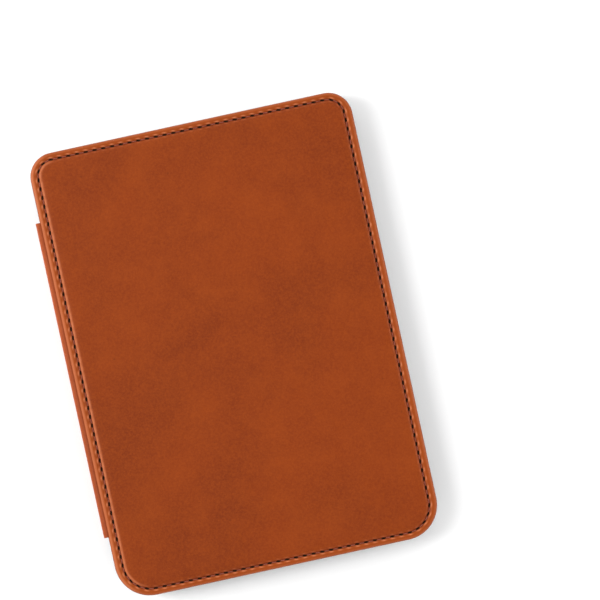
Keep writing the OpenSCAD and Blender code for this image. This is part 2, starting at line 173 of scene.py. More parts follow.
def finish_mesh(name, mesh):
    """Smooth shading, the resting place of each point, and an object to hold the mesh."""
    mesh.polygons.foreach_set("use_smooth", [True] * len(mesh.polygons))
    mesh.set_sharp_from_angle(angle=SHARP_ANGLE)
    place = np.zeros(len(mesh.vertices) * 3, np.float32)
    mesh.vertices.foreach_get("co", place)
    mesh.attributes.new("rest", "FLOAT_VECTOR", "POINT").data.foreach_set("vector", place)
    mesh.update()
    piece = bpy.data.objects.new(name, mesh)
    bpy.context.scene.collection.objects.link(piece)
    return piece


class Loft:
    """Rings of points, joined one to the next. Their counts are the same, or one is a multiple."""

    def __init__(self):
        self.points, self.faces, self.values, self.last = [], [], [], None
        self.count = 0

    def ring(self, points, **values):
        ids = np.arange(len(points)) + self.count
        self.points.append(points)
        self.values.append({key: np.broadcast_to(value, len(points)) for key, value in values.items()})
        self.count += len(points)
        if self.last is not None:
            self.join(self.last, ids)
        self.last = ids
        return ids

    def join(self, a, b):
        """Faces between two rings, each with several points of the longer one where the counts differ."""
        if len(a) < len(b):
            a, b = b, a
        step = len(a) // len(b)
        for j in range(len(b)):
            along = [a[(j * step + i) % len(a)] for i in range(step + 1)]
            self.faces.append([int(i) for i in (*along, b[(j + 1) % len(b)], b[j])])

    def cap(self, ids):
        self.faces.append([int(i) for i in ids])

    def close_at(self, point, **values):
        """Joins the last ring to one point in its middle."""
        tip = self.count
        self.points.append(np.array([point]))
        self.values.append({key: np.array([value]) for key, value in values.items()})
        self.count += 1
        for i in range(len(self.last)):
            self.faces.append([int(self.last[i]), int(self.last[(i + 1) % len(self.last)]), tip])

    def piece(self, name):
        keys = {key for row in self.values for key in row}
        attributes = {
            key: np.concatenate(
                [row.get(key, np.zeros(len(points))) for row, points in zip(self.values, self.points)]
            )
            for key in keys
        }
        return new_piece(name, np.concatenate(self.points), self.faces, attributes)


def with_height(flat, z):
    return np.column_stack([flat, np.broadcast_to(z, len(flat))])


def wobble(flat, amount, size, seed=0.0):
    """A slow random height at each point, up to about `amount`."""
    return np.array([amount * noise.noise(Vector((x / size, y / size, seed))) for x, y in flat])


def fill_middle(loft, outline, height):
    """Rings from an outline in to the middle, at the height that the function `height` gives."""
    for share in np.linspace(0.95, 0.05, 16):
        flat = outline * share
        loft.ring(with_height(flat, height(flat)))


# ------------------------------------------------------------------ the seam

cover_edge = Rounded(2 * cover_high.x, 2 * cover_high.y, COVER_R_TOP, COVER_R_BOTTOM)
SEAM_INSET = 3.0
SEAM_SIDE, SEAM_END, SEAM_CORNER = 3.2, 2.7, 3.1
seam_line = Rounded(
    2 * (cover_high.x - SEAM_SIDE),
    2 * (cover_high.y - SEAM_END),
    COVER_R_TOP - SEAM_CORNER,
    COVER_R_BOTTOM - SEAM_CORNER,
)
STITCHES = 164
STITCH_PITCH = seam_line.lengths().sum() / STITCHES
GROOVE_DEPTH = 0.24
HOLE_LENGTH, HOLE_WIDTH, HOLE_DEPTH, HOLE_SLANT = 0.59, 0.34, 0.75, 0.2
LIP_LENGTH, LIP_WIDTH, LIP_RISE, LIP_OUT = 0.85, 0.34, 0.17, 0.8
SEAM_DIP = 0.26
STEPS_PER_STITCH = 12
FINE = STEPS_PER_STITCH * STITCHES


def seam_offset(inset, walk):
    """Points at an inset from the cover's edge: the seam lies at SEAM_INSET, and outlines blend up to it."""
    if inset >= SEAM_INSET:
        return seam_line.inset(inset - SEAM_INSET).at(walk)
    share = inset / SEAM_INSET
    return cover_edge.at(walk) * (1 - share) + seam_line.at(walk) * share


def cover_height(inset):
    """Height of the leather's face, without its stitch holes."""
    dip = SEAM_DIP * smooth(1.5, 2.7, inset)
    groove_width = 0.42
    groove = GROOVE_DEPTH * math.exp(-(((inset - SEAM_INSET) / groove_width) ** 2))
    slope_start, slope_run = 3.2, 0.8
    rise = (PAD_RISE + SEAM_DIP) * (1 - math.exp(-max(inset - slope_start, 0) / slope_run))
    return BORDER_Z - dip - groove + rise


# The hole value also sets where the leather is painted near-black, as painted shade in the holes.
def hole_shape(inset, walk_count):
    """How far the leather is pushed in at the stitch holes and bulges beside them, each from 0 to 1."""
    along = (np.arange(walk_count) / walk_count * STITCHES + 0.5) % 1.0 - 0.5
    along = along * STITCH_PITCH
    across = np.abs(inset - SEAM_INSET + HOLE_SLANT * along)
    along = np.abs(along)
    hole = np.exp(-((along / HOLE_LENGTH) ** 3) - (across / HOLE_WIDTH) ** 3)
    lip = np.exp(-((along / LIP_LENGTH) ** 2) - ((across - LIP_OUT) / LIP_WIDTH) ** 2)
    return hole, lip


def spine_side_painted_highlight(inset, flat):
    """Painted highlight on the spine's side: how pale the leather is painted on its shoulder and on its rise
    inside the seam, where these face the left lamp.
    """
    beside_spine = smooth(-0.86, -0.97, flat[:, 0] / (cover_high.x - inset))
    shoulder = 0.45 * smooth(0.25, 0.6, inset) * smooth(1.8, 1.0, inset)
    rise = 0.65 * smooth(3.1, 3.6, inset) * smooth(4.7, 3.9, inset)
    return float(shoulder + rise) * beside_spine


# ------------------------------------------------------------------ the front cover


def leather_ripple(flat):
    return wobble(flat, 0.03, 7.0, 2.0)


def shoulder_wear(inset):
    return float(smooth(1.6, 0.5, inset))


def make_front_cover():
    """One closed shell: flange, rounded shoulder, stitched border, seam and padded middle."""
    loft = Loft()
    half = seam_line.steps(FINE // 2)
    fine = seam_line.steps(FINE)
    quarter = seam_line.steps(FINE // 4)
    bottom, under, shoulder = cover_low.z, BOARD_TOP, 1.15
    least_leather, middle_inset = 0.04, 20.0

    def lower(flat, z):
        """The flange is left out where the spine's leather runs in under the cover."""
        beside_spine = (flat[:, 0] < -cover_high.x + 2) & (np.abs(flat[:, 1]) < SPINE_HALF + 0.1)
        return np.where(beside_spine, np.maximum(z, under), z)

    flange = [(1.1, under), (1.1, bottom + 0.05), (0.95, bottom), (0.3, bottom), (0.08, bottom + 0.1)]
    side = [(0.0, bottom + 0.3), (0.0, BORDER_Z - shoulder - 0.06)]
    arc = [
        (shoulder * (1 - math.cos(a)), BORDER_Z - shoulder + shoulder * math.sin(a))
        for a in np.radians(np.arange(0, 91, 13))
    ]
    # The stretch attribute in these rings holds the painted highlight on the spine's side.
    for n, (inset, z) in enumerate(flange + side + arc):
        flat = seam_offset(inset, half)
        ids = loft.ring(
            with_height(flat, lower(flat, z)),
            border=1.0,
            edge=shoulder_wear(inset),
            rim=float(smooth(0.35, 0.05, inset)),
            stretch=spine_side_painted_highlight(inset, flat) * (z > under),
        )
        if n == 0:
            loft.cap(ids[::-1])
    # Painted highlight on the spine's side, in the stretch attribute.
    for inset in (1.3, 1.5, 1.7):
        flat = seam_offset(inset, half)
        height = cover_height(inset) + leather_ripple(flat)
        loft.ring(
            with_height(flat, height),
            border=1.0,
            edge=shoulder_wear(inset),
            stretch=spine_side_painted_highlight(inset, flat),
        )
    for inset in np.arange(1.95, 4.06, 0.14):
        flat = seam_offset(inset, fine)
        hole, lip = hole_shape(inset, FINE)
        height = cover_height(inset) - HOLE_DEPTH * hole + LIP_RISE * lip + leather_ripple(flat)
        height = np.maximum(height, BOARD_TOP + least_leather)
        # The stretch attribute holds the paler stretched leather on the bulges beside the holes, and the
        # painted highlight on the spine's side. The hole attribute marks where the leather is painted
        # near-black, as painted shade in the holes.
        lip_stretch = lip * (1.0 if inset < SEAM_INSET else 0.25)
        loft.ring(
            with_height(flat, height),
            border=float(smooth(3.3, 2.7, inset)),
            hole=hole,
            stretch=np.maximum(lip_stretch, spine_side_painted_highlight(inset, flat)),
            groove=math.exp(-(((inset - SEAM_INSET) / 0.45) ** 2)),
        )
    rise_insets = (4.3, 4.6, 5.0, 5.5, 6.1, 6.9, 7.8)
    # Painted highlight on the spine's side, in the stretch attribute.
    for inset in rise_insets:
        flat = seam_offset(inset, half)
        height = np.minimum(cover_height(inset) + leather_ripple(flat), cover_high.z)
        loft.ring(with_height(flat, height), border=0.0, stretch=spine_side_painted_highlight(inset, flat))
    last = seam_offset(rise_insets[-1], quarter)
    for share in np.linspace(0.97, 0.03, 30):
        flat = last * share
        height = cover_height(middle_inset) - 0.03 + leather_ripple(flat) * share + wobble(flat, 0.05, 24.0)
        height = np.minimum(height, cover_high.z)
        loft.ring(with_height(flat, height), border=0.0)
    loft.close_at((0.0, 0.0, cover_height(middle_inset)), border=0.0)
    return loft.piece("front_cover_leather")


def make_stitches(name, seam_z, dive, lift, radius, slant):
    """Thread between the holes: each stitch rises from one, lies in the groove and dives into the next."""
    sections, sides = 17, 8
    end_gap, hole_share, flattened = 0.6, 0.185, 0.9
    line = seam_line.at(seam_line.steps(FINE))
    points, faces, around_values, along_values, hole_values = [], [], [], [], []
    for stitch in range(STITCHES):
        first = stitch * STEPS_PER_STITCH
        base = len(points)
        lean = slant * random.uniform(0.6, 1.3)
        thick = radius * random.uniform(0.93, 1.06)
        for i in range(sections):
            share = i / (sections - 1)
            place = first + end_gap + (STEPS_PER_STITCH - 2 * end_gap) * share
            k, part = int(place), place - int(place)
            here, there = line[k % FINE], line[(k + 1) % FINE]
            centre = here + (there - here) * part
            along = (there - here) / np.linalg.norm(there - here)
            across = np.array([along[1], -along[0]])
            centre = centre + across * lean * (share - 0.5) * 2
            from_end = min(share, 1 - share)
            # in_hole also sets where the thread is painted near-black: painted shade in the hole.
            in_hole = math.exp(-((from_end / hole_share) ** 3))
            z = seam_z + dive * in_hole + lift * math.sin(math.pi * share)
            taper = thick * (0.82 + 0.18 * math.sin(math.pi * share))
            for j in range(sides):
                turn = 2 * math.pi * j / sides
                offset = across * math.cos(turn) * taper
                points.append((*(centre + offset), z + math.sin(turn) * taper * flattened))
                around_values.append(j / sides)
                along_values.append(share * STITCH_PITCH)
                hole_values.append(in_hole)
        for i in range(sections - 1):
            for j in range(sides):
                a, b = base + i * sides + j, base + i * sides + (j + 1) % sides
                faces.append([a, b, b + sides, a + sides])
        faces.append([base + j for j in range(sides)][::-1])
        faces.append([base + (sections - 1) * sides + j for j in range(sides)])
    values = {"around": around_values, "along": along_values, "hole": hole_values}
    return new_piece(name, points, faces, values)


def make_cover_lining():
    """Microfibre sheet glued inside the cover, pressed in along the seam."""
    loft = Loft()
    walk = seam_line.steps(FINE // 2)
    few = seam_line.steps(FINE // 4)
    first = cover_high.x - lining_high.x
    top, bottom = lining_high.z, lining_low.z
    profile = [(0.0, top), (0.0, bottom + 0.2), (0.06, bottom + 0.06), (0.2, bottom), (1.0, bottom)]
    for n, (inset, z) in enumerate(profile):
        ids = loft.ring(with_height(seam_offset(first + inset, walk), z))
        if n == 0:
            loft.cap(ids[::-1])
    press_depth, press_width = 0.2, 0.4
    for inset in np.arange(2.1, 4.0, 0.2):
        press = press_depth * math.exp(-(((inset - SEAM_INSET) / press_width) ** 2))
        loft.ring(with_height(seam_offset(inset, walk), bottom + press), groove=press / press_depth)
    last = seam_offset(6.0, few)
    loft.ring(with_height(last, bottom))
    fill_middle(loft, last, lambda flat: bottom + np.abs(wobble(flat, 0.05, 18.0, 4.0)))
    loft.close_at((0.0, 0.0, bottom))
    return loft.piece("cover_inside_lining")


def make_tray_pad():
    """Microfibre sheet glued in the tray, under the reader, with its cut edge softened."""
    loft = Loft()
    outline = Rounded(2 * pad_high.x, 2 * pad_high.y, TRAY_PAD_R, TRAY_PAD_R)
    walk = outline.steps(480)
    top, edge_r, flat_from = pad_high.z, 0.1, 2.0
    profile = [(0.0, pad_low.z), (0.0, top - edge_r), (0.03, top - 0.03), (edge_r, top), (flat_from, top)]
    for n, (inset, z) in enumerate(profile):
        ids = loft.ring(with_height(outline.inset(inset).at(walk), z))
        if n == 0:
            loft.cap(ids[::-1])
    last = outline.inset(flat_from).at(walk)
    fill_middle(loft, last, lambda flat: top - np.abs(wobble(flat, 0.04, 15.0, 6.0)))
    loft.close_at((0.0, 0.0, top))
    return loft.piece("tray_pad_cloth")


# ------------------------------------------------------------------ the back and the spine


def arc_points(centre, radius, first, last, count):
    """Points on an arc, both ends included, angles in degrees."""
    angles = np.radians(np.linspace(first, last, count))
    return np.asarray(centre) + radius * np.stack([np.cos(angles), np.sin(angles)], 1)


def back_outline(inset, end_u):
    """The flat cut of the back leather: a rounded panel and the tab that becomes the spine."""
    a, b, c = PANEL_HALF_W - inset, panel_high.y - inset, SPINE_HALF - inset
    top, bottom, fillet = PANEL_R_TOP - inset, PANEL_R_BOTTOM - inset, 0.5 + inset
    tab_from = -a - 3
    parts = [
        [(end_u, c), (tab_from, c)],
        arc_points((-a - fillet, c + fillet), fillet, -90, 0, 7),
        arc_points((top - a, b - top), top, 180, 90, 15),
        arc_points((a - top, b - top), top, 90, 0, 15),
        arc_points((a - bottom, bottom - b), bottom, 0, -90, 19),
        arc_points((bottom - a, bottom - b), bottom, -90, -180, 19),
        arc_points((-a - fillet, -c - fillet), fillet, 0, 90, 7),
        [(tab_from, -c), (end_u, -c)],
    ]
    return np.concatenate([np.asarray(part, float) for part in parts])


LOW = hinges["spine_hinge"]
LOW_ARC = CREASE_R * math.pi / 2
BACK_END = LOW.x - LOW_ARC - (SPINE_MIDDLE_Z - LOW.z)
BACK_T = panel_high.z
BACK_GROOVE_U, BACK_RIDGE_U = 2.3, 4.1  # from the crease


def back_shape(u, y, depth):
    """Folds a point of the flat cut: u runs across the panel and up the spine, depth in from outside."""
    thin = float(smooth(LOW.x + 1.6, LOW.x + 0.4, u))
    thickness = BACK_T + (BEND_LEATHER_T - BACK_T) * thin
    if u < LOW.x - LOW_ARC - 0.3:
        thickness = SPINE_LEATHER_T
    on_tab = float(smooth(SPINE_HALF + 0.2, SPINE_HALF - 1.2, abs(y)) * smooth(LOW.x + 7.5, LOW.x + 5.5, u))
    groove = 0.32 * math.exp(-(((u - LOW.x - BACK_GROOVE_U) / 0.6) ** 2)) * on_tab
    recess = 0.22 * math.exp(-(((u - LOW.x - BACK_RIDGE_U) / 2.4) ** 2)) * on_tab
    ridge = 0.22 * math.exp(-(((u - LOW.x - BACK_RIDGE_U) / 0.95) ** 2)) * on_tab - recess
    share = depth / BACK_T
    h = share * thickness + (groove - ridge) * (1 - share)
    if u >= LOW.x:
        return u, y, h
    turn = (LOW.x - u) / CREASE_R
    if turn < math.pi / 2:
        r = CREASE_R - h
        return LOW.x - r * math.sin(turn), y, LOW.z - r * math.cos(turn)
    return SPINE_OUT + h, y, LOW.z + (LOW.x - LOW_ARC - u)


def make_back_leather():
    """The back panel, which runs on round the lower crease and up to the middle of the spine."""
    edge = [(0.9, 0.0), (0.5, 0.0), (0.26, 0.05), (0.1, 0.15), (0.02, 0.3), (0.0, 0.5), (0.0, BACK_T)]
    work = bmesh.new()
    rings = [
        [work.verts.new((x, y, depth)) for x, y in back_outline(inset, BACK_END)] for inset, depth in edge
    ]
    for a, b in zip(rings, rings[1:]):
        for i in range(len(a)):
            k = (i + 1) % len(a)
            work.faces.new((a[i], a[k], b[k], b[i]))
    work.faces.new(rings[0])
    work.faces.new(rings[-1][::-1])
    cuts = [*np.arange(LOW.x + 8, LOW.x, -0.25), *np.arange(LOW.x, LOW.x - LOW_ARC, -0.125)]
    cuts += [*np.arange(LOW.x - LOW_ARC, BACK_END, -0.6)]
    for u in cuts:
        slice_at(work, (u, 0, 0), (1, 0, 0))
    grid = 8.0
    for x in np.arange(-PANEL_HALF_W + 10, PANEL_HALF_W - 4, grid):
        slice_at(work, (x, 0, 0), (1, 0, 0))
    beside_tab = (SPINE_HALF - 1.4, SPINE_HALF - 0.9, -SPINE_HALF + 1.4, -SPINE_HALF + 0.9)
    for y in (*np.arange(-panel_high.y + 8, panel_high.y - 4, grid), *beside_tab):
        slice_at(work, (0, y, 0), (0, 1, 0))
    bmesh.ops.remove_doubles(work, verts=work.verts, dist=1e-5)
    for vert in work.verts:
        vert.co = Vector(back_shape(*vert.co)) * MM
    bmesh.ops.recalc_face_normals(work, faces=work.faces)
    mesh = bpy.data.meshes.new("back_leather_panel")
    work.to_mesh(mesh)
    work.free()
    co = np.array([v.co for v in mesh.vertices]) / MM
    near_edge = smooth(0.9, 0.1, panel_high.y - np.abs(co[:, 1]))
    crease = np.exp(-(((co[:, 0] - LOW.x - BACK_GROOVE_U) / 0.7) ** 2)) * (np.abs(co[:, 1]) < SPINE_HALF)
    mesh.attributes.new("edge", "FLOAT", "POINT").data.foreach_set("value", near_edge.astype(np.float32))
    mesh.attributes.new("crease", "FLOAT", "POINT").data.foreach_set("value", crease.astype(np.float32))
    return finish_mesh("back_leather_panel", mesh)


def slice_at(work, point, normal):
    """Cuts every face that crosses a plane, so that the sheet can bend there."""
    everything = [*work.verts, *work.edges, *work.faces]
    bmesh.ops.bisect_plane(work, geom=everything, dist=1e-4, plane_co=point, plane_no=normal)


def sweep_strip(name, path, thickness, half_length, edge_r, inward):
    """A long strip along Y, from its outer line in (x, z). Its thickness grows to the side `inward`."""
    through = 1.0
    path = np.asarray(path, float)
    along = np.gradient(path, axis=0)
    along /= np.linalg.norm(along, axis=1)[:, None]
    normal = np.stack([-along[:, 1], along[:, 0]], 1) * inward
    ends = [(edge_r * (1 - math.sin(a)), edge_r * (1 - math.cos(a))) for a in np.radians([0, 22, 45, 68, 90])]
    rows = np.arange(-half_length + 4, half_length - 3.9, (2 * half_length - 8) / 30)
    loop = [(-half_length + inset, depth) for depth, inset in ends]
    loop += [(y, 0.0) for y in rows] + [(half_length - inset, depth) for depth, inset in ends[::-1]]
    loop += [(y, through) for y in (half_length, *rows[::-1], -half_length)]
    loft = Loft()
    for i, (at, side) in enumerate(zip(path, normal)):
        t = thickness[i] if hasattr(thickness, "__len__") else thickness
        ring = []
        for y, depth in loop:
            h = t if depth == through else min(depth, t)
            ring.append((at[0] + side[0] * h, y, at[1] + side[1] * h))
        ids = loft.ring(np.array(ring))
        if i == 0:
            loft.cap(ids[::-1])
    loft.cap(loft.last)
    return loft.piece(name)


def join_lines(*parts):
    """One line from several, without the points that two neighbours share."""
    joined = [np.asarray(parts[0], float)]
    for part in parts[1:]:
        part = np.asarray(part, float)
        joined.append(part[1:] if np.allclose(part[0], joined[-1][-1], atol=1e-3) else part)
    return np.concatenate(joined)


def straight(start, end, count):
    return np.linspace(start, end, count)


def make_spine_top():
    """The spine's leather from its middle up, round the upper crease and in under the cover's leather."""
    high = hinges["cover_hinge"]
    leave_angle = 62
    down = arc_points((high.x, high.z), CREASE_R, 180, leave_angle, 14)
    tuck = (-cover_high.x + 0.7, BOARD_TOP)
    path = join_lines(
        straight((SPINE_OUT, SPINE_MIDDLE_Z), (SPINE_OUT, high.z), 14),
        down,
        straight(down[-1], tuck, 5),
        straight(tuck, (tab_high.x, BOARD_TOP), 8),
    )
    thickness = [
        SPINE_LEATHER_T if z < high.z - 0.4 and x < high.x else BEND_LEATHER_T for x, z in path
    ]
    return sweep_strip("spine_leather_upper", path, thickness, SPINE_HALF, 0.3, -1)


def spine_lining_lines():
    """Outer lines of the spine's lining, in (x, z): one for each crease, and they meet at its middle."""
    inner = SPINE_OUT + 1.0
    high = hinges["cover_hinge"]
    middle = (inner, SPINE_MIDDLE_Z)
    under_tray, beside_tray, low_turn = (tray_low.x + 0.5, 0.78), (tray_low.x - 0.35, 0.86), (inner, 1.5)
    lower = join_lines(
        straight(under_tray, beside_tray, 3),
        straight(beside_tray, low_turn, 4),
        straight(low_turn, middle, 12),
    )
    high_turn, below_cover = (inner, high.z - 1.0), (inner + 0.5, high.z - 0.7)
    in_cover = (lining_low.x + 0.8, lining_high.z + 0.5)
    upper = join_lines(
        straight(middle, high_turn, 12),
        straight(high_turn, below_cover, 4),
        straight(below_cover, in_cover, 4),
    )
    return lower, upper


LOWER_LINING, UPPER_LINING = spine_lining_lines()


def make_spine_lining(name, line):
    thickness, shorter, edge_r = 0.5, 0.25, 0.15
    return sweep_strip(name, line, thickness, SPINE_HALF - shorter, edge_r, -1)


# ------------------------------------------------------------------ materials


class Paint:
    """A node material built on one Principled shader."""

    def __init__(self, name, coords="object"):
        self.material = bpy.data.materials.new(name)
        self.material.use_nodes = True
        self.tree = self.material.node_tree
        self.shader = self.tree.nodes["Principled BSDF"]
        if coords == "rest":
            self.place = self.node("ShaderNodeAttribute", attribute_name="rest").outputs["Vector"]
        else:
            self.place = self.node("ShaderNodeTexCoord").outputs["Object"]

    def node(self, kind, **settings):
        made = self.tree.nodes.new(kind)
        for key, value in settings.items():
            setattr(made, key, value)
        return made

    def feed(self, socket, value):
        """Links a socket, or sets a number or colour. None leaves the input as it is."""
        if isinstance(value, bpy.types.NodeSocket):
            self.tree.links.new(value, socket)
        elif value is not None:
            socket.default_value = value

    def set(self, **sockets):
        for key, value in sockets.items():
            self.feed(self.shader.inputs[key.replace("_", " ")], value)
        return self

    def attribute(self, name):
        return self.node("ShaderNodeAttribute", attribute_name=name).outputs["Fac"]

    def noise(self, scale, detail=3.0, roughness=0.5, stretch=None, distortion=0.0):
        made = self.node("ShaderNodeTexNoise")
        made.inputs["Scale"].default_value = scale
        made.inputs["Detail"].default_value = detail
        made.inputs["Roughness"].default_value = roughness
        made.inputs["Distortion"].default_value = distortion
        self.feed(made.inputs["Vector"], self.stretched(stretch))
        return made.outputs["Fac"]

    def stretched(self, stretch):
        if stretch is None:
            return self.place
        made = self.node("ShaderNodeMapping")
        self.feed(made.inputs["Vector"], self.place)
        made.inputs["Scale"].default_value = stretch
        return made.outputs["Vector"]

    def cells(self, scale, feature="F1"):
        made = self.node("ShaderNodeTexVoronoi", feature=feature)
        made.inputs["Scale"].default_value = scale
        self.feed(made.inputs["Vector"], self.place)
        return made.outputs["Distance"]

    def ramp(self, value, low, high, to_low=0.0, to_high=1.0):
        made = self.node("ShaderNodeMapRange", clamp=True)
        self.feed(made.inputs["Value"], value)
        for key, number in (("From Min", low), ("From Max", high), ("To Min", to_low), ("To Max", to_high)):
            made.inputs[key].default_value = number
        return made.outputs["Result"]

    def math(self, operation, a, b=None):
        made = self.node("ShaderNodeMath", operation=operation)
        self.feed(made.inputs[0], a)
        self.feed(made.inputs[1], b)
        return made.outputs[0]

    def mix(self, share, a, b):
        made = self.node("ShaderNodeMix", data_type="RGBA")
        self.feed(made.inputs["Factor"], share)
        self.feed(made.inputs["A"], rgba(a))
        self.feed(made.inputs["B"], rgba(b))
        return made.outputs["Result"]

    def bump(self, height, depth_mm, under=None):
        made = self.node("ShaderNodeBump")
        made.inputs["Strength"].default_value = 1.0
        made.inputs["Distance"].default_value = depth_mm * MM
        self.feed(made.inputs["Height"], height)
        self.feed(made.inputs["Normal"], under)
        return made.outputs["Normal"]


def rgba(colour):
    """A colour with its alpha; sockets pass through."""
    return (*colour, 1.0) if isinstance(colour, (tuple, list)) and len(colour) == 3 else colour


def shade(colour, factor):
    """A colour made darker or lighter, and no lighter than white."""
    return tuple(min(c * factor, 1) for c in colour)


LEATHER_MID = (0.190, 0.0240, 0.0012)
LEATHER_DARK = (0.148, 0.0170, 0.0010)
LEATHER_LIGHT = (0.274, 0.0450, 0.0028)
# LEATHER_PALE: rubbed and stretched leather, and the painted highlight on the spine's side.
LEATHER_PALE = (0.51, 0.150, 0.060)
LEATHER_GLOSS = (1.0, 0.62, 0.38, 1.0)
THREAD = (0.190, 0.046, 0.028)
# The inner seam's thread is the same thread, painted darker: painted shade, as the inner seam lies in full
# light.
INNER_THREAD_PAINTED_DARKER = (0.105, 0.027, 0.018)


def leather(name, mid=LEATHER_MID, dark=LEATHER_DARK, light=LEATHER_LIGHT):
    """Waxed pull-up leather: cloudy tone, pale where it is stretched or rubbed, a painted highlight on the
    spine's side, stitch holes painted near-black as shade, and a fine closed grain.
    """
    p = Paint(name, "rest")
    clouds = p.ramp(p.noise(22, 3.0, 0.5, distortion=0.3), 0.34, 0.62)
    patches = p.ramp(p.noise(75, 5.0, 0.6), 0.42, 0.72)
    speckle = p.ramp(p.noise(1300, 3.0, 0.65), 0.34, 0.68)
    colour = p.mix(clouds, dark, mid)
    colour = p.mix(p.math("MULTIPLY", patches, 0.34), colour, light)
    colour = p.mix(p.math("MULTIPLY", speckle, 0.5), colour, light)
    marks = p.ramp(p.cells(75), 0.015, 0.04, 0.35, 0.0)
    colour = p.mix(marks, colour, shade(dark, 0.3))
    colour = p.mix(p.math("MULTIPLY", p.attribute("border"), 0.62), colour, light)
    worn = p.math("MULTIPLY", p.attribute("edge"), p.ramp(p.noise(420, 4.0, 0.6), 0.25, 0.7, 0.35, 0.75))
    colour = p.mix(p.math("MULTIPLY", worn, 0.36), colour, LEATHER_PALE)
    # Pale where the leather is stretched beside the stitch holes, plus a painted highlight on the spine's
    # side: both come in the stretch attribute.
    colour = p.mix(p.math("MULTIPLY", p.attribute("stretch"), 0.9), colour, LEATHER_PALE)
    colour = p.mix(p.math("MULTIPLY", p.attribute("crease"), 0.65), colour, light)
    colour = p.mix(p.math("MULTIPLY", p.attribute("rim"), 0.5), colour, shade(dark, 0.5))
    colour = p.mix(p.math("MULTIPLY", p.attribute("groove"), 0.25), colour, dark)
    # Painted shade: the leather in the stitch holes is painted near-black.
    hole = p.ramp(p.attribute("hole"), 0.1, 0.35)
    colour = p.mix(hole, colour, (0.004, 0.002, 0.0015))
    pores = p.ramp(p.cells(1500), 0.05, 0.5)
    wrinkle = p.noise(2600, 3.0, 0.6)
    roughness = p.ramp(p.noise(240, 4.0, 0.6), 0.3, 0.7, 0.53, 0.66)
    grain = p.math("ADD", p.math("MULTIPLY", pores, 0.7), p.math("MULTIPLY", wrinkle, 0.5))
    normal = p.bump(grain, 0.035, p.bump(p.noise(160, 3.0, 0.5), 0.05))
    p.set(Base_Color=colour, Roughness=roughness, Normal=normal)
    p.set(Specular_IOR_Level=0.34, Specular_Tint=LEATHER_GLOSS, Coat_Weight=0.05, Coat_Roughness=0.25)
    return p.material


def thread_paint(name, colour):
    """Waxed twisted thread: the plies show as slanted ridges, with a painted highlight on their crests and
    fuzz and painted shade between them, and painted near-black shade where the thread dives into a hole.
    """
    p = Paint(name, "rest")
    plies = p.math("MULTIPLY", p.attribute("around"), 2.0)
    turn = p.math("ADD", plies, p.math("MULTIPLY", p.attribute("along"), 1.4))
    ply = p.math("SINE", p.math("MULTIPLY", turn, 2 * math.pi))
    fuzz = p.noise(6000, 2.0)
    # Painted highlight and shade: the ply crests are painted lighter, the grooves between them darker, and
    # the fuzz lighter.
    tone = p.mix(p.ramp(ply, -1, 1), shade(colour, 0.55), shade(colour, 1.5))
    tone = p.mix(p.math("MULTIPLY", fuzz, 0.3), tone, shade(colour, 2.2))
    # Painted shade: the thread is painted near-black where it dives into a hole.
    tone = p.mix(p.ramp(p.attribute("hole"), 0.06, 0.3), tone, (0.003, 0.0015, 0.0015))
    normal = p.bump(p.math("ADD", ply, fuzz), 0.03)
    return p.set(Base_Color=tone, Roughness=0.7, Normal=normal, Specular_IOR_Level=0.2).material


def plastic(name, colour, roughness=0.45, grain=2500, depth=0.01, specular=0.5):
    """Moulded plastic with the fine texture of its mould."""
    p = Paint(name)
    cloud = p.noise(120, 3.0)
    lighter = tuple(min(c * 1.35 + 0.002, 1) for c in colour)
    tone = p.mix(p.ramp(cloud, 0.3, 0.7), colour, lighter)
    rough = p.ramp(p.noise(300, 3.0), 0.3, 0.7, roughness - 0.04, roughness + 0.05)
    normal = p.bump(p.noise(grain, 2.0, 0.6), depth)
    return p.set(Base_Color=tone, Roughness=rough, Normal=normal, Specular_IOR_Level=specular).material


def metal(name, colour, roughness=0.3, brushed=True):
    """Metal sheet or turned metal, with fine brush lines or an even blasted grain."""
    p = Paint(name)
    lines = p.noise(900, 4.0, 0.6, (1.0, 12.0, 1.0)) if brushed else p.noise(2200, 3.0, 0.6)
    tone = p.mix(p.ramp(lines, 0.3, 0.7), shade(colour, 0.86), colour)
    rough = p.ramp(lines, 0.3, 0.7, roughness - 0.07, roughness + 0.07)
    return p.set(Base_Color=tone, Roughness=rough, Metallic=1.0, Normal=p.bump(lines, 0.004)).material


def microfibre(name, colour):
    """Short-napped cloth: a soft mottle where the nap lies in different ways."""
    p = Paint(name, "rest")
    nap = p.noise(260, 4.0, 0.6, (1.0, 0.5, 1.0))
    fibre = p.noise(5200, 3.0, 0.7)
    tone = p.mix(p.ramp(nap, 0.3, 0.7), shade(colour, 0.86), shade(colour, 1.14))
    tone = p.mix(p.math("MULTIPLY", p.ramp(fibre, 0.3, 0.7), 0.35), tone, shade(colour, 1.7))
    tone = p.mix(p.math("MULTIPLY", p.attribute("groove"), 0.5), tone, shade(colour, 0.45))
    normal = p.bump(fibre, 0.03)
    p.set(Base_Color=tone, Roughness=0.95, Normal=normal, Specular_IOR_Level=0.08)
    p.set(Sheen_Weight=0.12, Sheen_Roughness=0.4, Sheen_Tint=(1.0, 0.95, 0.9, 1.0))
    return p.material


def circuit_board(name):
    """Green solder mask over copper tracks."""
    p = Paint(name)
    tracks = p.ramp(p.cells(330, "DISTANCE_TO_EDGE"), 0.03, 0.06)
    tone = p.mix(tracks, (0.03, 0.16, 0.07), (0.012, 0.075, 0.035))
    tone = p.mix(p.math("MULTIPLY", p.noise(700, 3.0), 0.3), tone, (0.02, 0.12, 0.06))
    return p.set(Base_Color=tone, Roughness=0.35, Normal=p.bump(tracks, 0.01)).material


